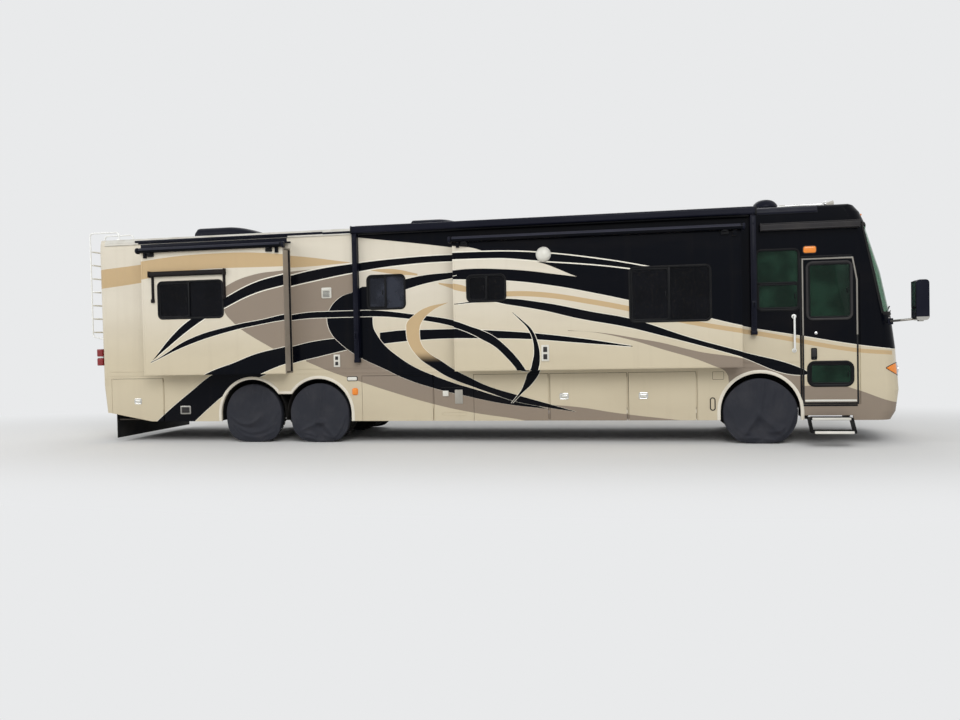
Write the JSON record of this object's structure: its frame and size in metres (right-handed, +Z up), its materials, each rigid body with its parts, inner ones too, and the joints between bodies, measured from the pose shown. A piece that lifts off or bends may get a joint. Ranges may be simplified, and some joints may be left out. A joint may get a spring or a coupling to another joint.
{
  "type": "motorhome",
  "caption": "Long rear-engine motorhome with a tag axle, slide-out rooms, furled patio awning, covered wheels and sweeping black, tan and cream paint",
  "frame": {"origin": "on the ground below the middle of the bounding box", "axes": "+X forward, +Y to the driver's side, +Z up"},
  "size_m": [13.633, 3.42, 3.85],
  "materials": {
    "steel": "satin black chassis paint",
    "body_paint": "gloss cream, tan and black paint in clear coat",
    "roof_skin": "white moulded roof skin",
    "floor": "sealed laminated floor",
    "glass": "dark tinted glass",
    "lamp": "clear, amber and red lamp lenses",
    "tyre": "black tyres on steel rims",
    "cover": "black woven wheel covers",
    "awning": "navy awning cloth on metal arms",
    "trim": "bare aluminium",
    "white_tube": "white painted tube",
    "navy_plastic": "navy moulded plastic",
    "rubber": "black rubber",
    "dash": "grained plastic",
    "upholstery": "tan upholstery",
    "cast": "cast iron"
  },
  "bodies": {
    "coach": {"chassis_frame": "steel", "floor_deck": "floor", "axles": "cast", "engine_block": "cast", "wall_right": "body_paint", "wall_left": "body_paint", "skirt_right": "body_paint", "skirt_left": "body_paint", "roof": "roof_skin", "front_cap": "body_paint", "rear_cap": "body_paint", "windshield": "glass", "lamps": "lamp", "window_glass": "glass", "awnings": "awning", "ladder": "white_tube", "mirrors": "navy_plastic", "mud_flap": "rubber", "dashboard": "dash", "cab_seats": "upholstery", "roof_air_conditioners": "navy_plastic", "roof_fittings": "trim"},
    "entry_door_body": {"entry_door": "body_paint", "entry_door_glass": "glass"},
    "entry_step_body": {"entry_step": "steel"},
    "engine_door_body": {"engine_door": "body_paint"},
    "steering_wheel_body": {"steering_wheel": "dash"},
    "slide_bedroom_body": {"slide_bedroom": "body_paint", "slide_bedroom_glass": "glass"},
    "slide_living_body": {"slide_living": "body_paint", "slide_living_glass": "glass"},
    "slide_driver_side_body": {"slide_driver_side": "body_paint", "slide_driver_side_glass": "glass"},
    "baggage_door_right_1_body": {"baggage_door_right_1": "body_paint"},
    "baggage_door_right_2_body": {"baggage_door_right_2": "body_paint"},
    "baggage_door_right_3_body": {"baggage_door_right_3": "body_paint"},
    "baggage_door_right_4_body": {"baggage_door_right_4": "body_paint"},
    "baggage_door_right_5_body": {"baggage_door_right_5": "body_paint"},
    "baggage_door_left_1_body": {"baggage_door_left_1": "body_paint"},
    "baggage_door_left_2_body": {"baggage_door_left_2": "body_paint"},
    "baggage_door_left_3_body": {"baggage_door_left_3": "body_paint"},
    "knuckle_right_body": {"knuckle_right": "cast"},
    "front_right_body": {"front_wheel_right": "tyre", "front_cover_right": "cover"},
    "drive_right_body": {"drive_wheel_right": "tyre", "drive_cover_right": "cover"},
    "tag_right_body": {"tag_wheel_right": "tyre", "tag_cover_right": "cover"},
    "knuckle_left_body": {"knuckle_left": "cast"},
    "front_left_body": {"front_wheel_left": "tyre", "front_cover_left": "cover"},
    "drive_left_body": {"drive_wheel_left": "tyre", "drive_cover_left": "cover"},
    "tag_left_body": {"tag_wheel_left": "tyre", "tag_cover_left": "cover"}
  },
  "joints": [
    {"name": "entry_door_hinge", "type": "hinge", "parent": "coach", "child": "entry_door_body", "pos_m": [5.9845, -1.272, 1.68], "axis": [0, 0, 1], "range_deg": [0, 95]},
    {"name": "entry_step_slide", "type": "slide", "parent": "coach", "child": "entry_step_body", "axis": [0, 1, 0], "range_m": [0, 0.42]},
    {"name": "engine_door_hinge", "type": "hinge", "parent": "coach", "child": "engine_door_body", "pos_m": [-6.5855, 0, 1.768], "axis": [0, 1, 0], "range_deg": [0, 80]},
    {"name": "steering_wheel_turn", "type": "hinge", "parent": "coach", "child": "steering_wheel_body", "pos_m": [5.6465, 0.52, 1.9], "axis": [-0.6428, 0, 0.766], "range_deg": [-640, 640]},
    {"name": "slide_bedroom_travel", "type": "slide", "parent": "coach", "child": "slide_bedroom_body", "axis": [0, -1, 0], "range_m": [-0.25, 0.35]},
    {"name": "slide_living_travel", "type": "slide", "parent": "coach", "child": "slide_living_body", "axis": [0, -1, 0], "range_m": [-0.25, 0.45]},
    {"name": "slide_driver_side_travel", "type": "slide", "parent": "coach", "child": "slide_driver_side_body", "axis": [0, 1, 0], "range_m": [-0.25, 0.45]},
    {"name": "baggage_door_right_1_hinge", "type": "hinge", "parent": "coach", "child": "baggage_door_right_1_body", "pos_m": [-5.3105, -1.272, 0.8], "axis": [0, 0, 1], "range_deg": [0, 100]},
    {"name": "baggage_door_right_2_hinge", "type": "hinge", "parent": "coach", "child": "baggage_door_right_2_body", "pos_m": [-0.4825, -1.272, 0.8], "axis": [0, 0, 1], "range_deg": [0, 100]},
    {"name": "baggage_door_right_3_hinge", "type": "hinge", "parent": "coach", "child": "baggage_door_right_3_body", "pos_m": [1.3975, -1.272, 0.8], "axis": [0, 0, 1], "range_deg": [0, 100]},
    {"name": "baggage_door_right_4_hinge", "type": "hinge", "parent": "coach", "child": "baggage_door_right_4_body", "pos_m": [2.6175, -1.272, 0.8], "axis": [0, 0, 1], "range_deg": [0, 100]},
    {"name": "baggage_door_right_5_hinge", "type": "hinge", "parent": "coach", "child": "baggage_door_right_5_body", "pos_m": [3.6575, -1.272, 0.8], "axis": [0, 0, 1], "range_deg": [0, 100]},
    {"name": "baggage_door_left_1_hinge", "type": "hinge", "parent": "coach", "child": "baggage_door_left_1_body", "pos_m": [-5.3105, 1.272, 0.8], "axis": [0, 0, -1], "range_deg": [0, 100]},
    {"name": "baggage_door_left_2_hinge", "type": "hinge", "parent": "coach", "child": "baggage_door_left_2_body", "pos_m": [0.5745, 1.272, 0.8], "axis": [0, 0, -1], "range_deg": [0, 100]},
    {"name": "baggage_door_left_3_hinge", "type": "hinge", "parent": "coach", "child": "baggage_door_left_3_body", "pos_m": [3.6575, 1.272, 0.8], "axis": [0, 0, -1], "range_deg": [0, 100]},
    {"name": "steer_right", "type": "hinge", "parent": "coach", "child": "knuckle_right_body", "pos_m": [4.5865, -0.98, 0.49], "axis": [0, 0, 1], "range_deg": [-40, 40]},
    {"name": "front_right_roll", "type": "hinge", "parent": "knuckle_right_body", "child": "front_right_body", "pos_m": [4.5865, -1.105, 0.49], "axis": [0, 1, 0], "continuous": true},
    {"name": "drive_right_roll", "type": "hinge", "parent": "coach", "child": "drive_right_body", "pos_m": [-2.4535, -1.105, 0.49], "axis": [0, 1, 0], "continuous": true},
    {"name": "tag_right_roll", "type": "hinge", "parent": "coach", "child": "tag_right_body", "pos_m": [-3.6435, -1.105, 0.49], "axis": [0, 1, 0], "continuous": true},
    {"name": "steer_left", "type": "hinge", "parent": "coach", "child": "knuckle_left_body", "pos_m": [4.5865, 0.98, 0.49], "axis": [0, 0, 1], "range_deg": [-40, 40]},
    {"name": "front_left_roll", "type": "hinge", "parent": "knuckle_left_body", "child": "front_left_body", "pos_m": [4.5865, 1.105, 0.49], "axis": [0, 1, 0], "continuous": true},
    {"name": "drive_left_roll", "type": "hinge", "parent": "coach", "child": "drive_left_body", "pos_m": [-2.4535, 1.105, 0.49], "axis": [0, 1, 0], "continuous": true},
    {"name": "tag_left_roll", "type": "hinge", "parent": "coach", "child": "tag_left_body", "pos_m": [-3.6435, 1.105, 0.49], "axis": [0, 1, 0], "continuous": true}
  ],
  "couplings": [
    {"joint": "steer_left", "follows": "steer_right", "ratio": 1},
    {"joint": "steering_wheel_turn", "follows": "steer_right", "ratio": 16}
  ]
}
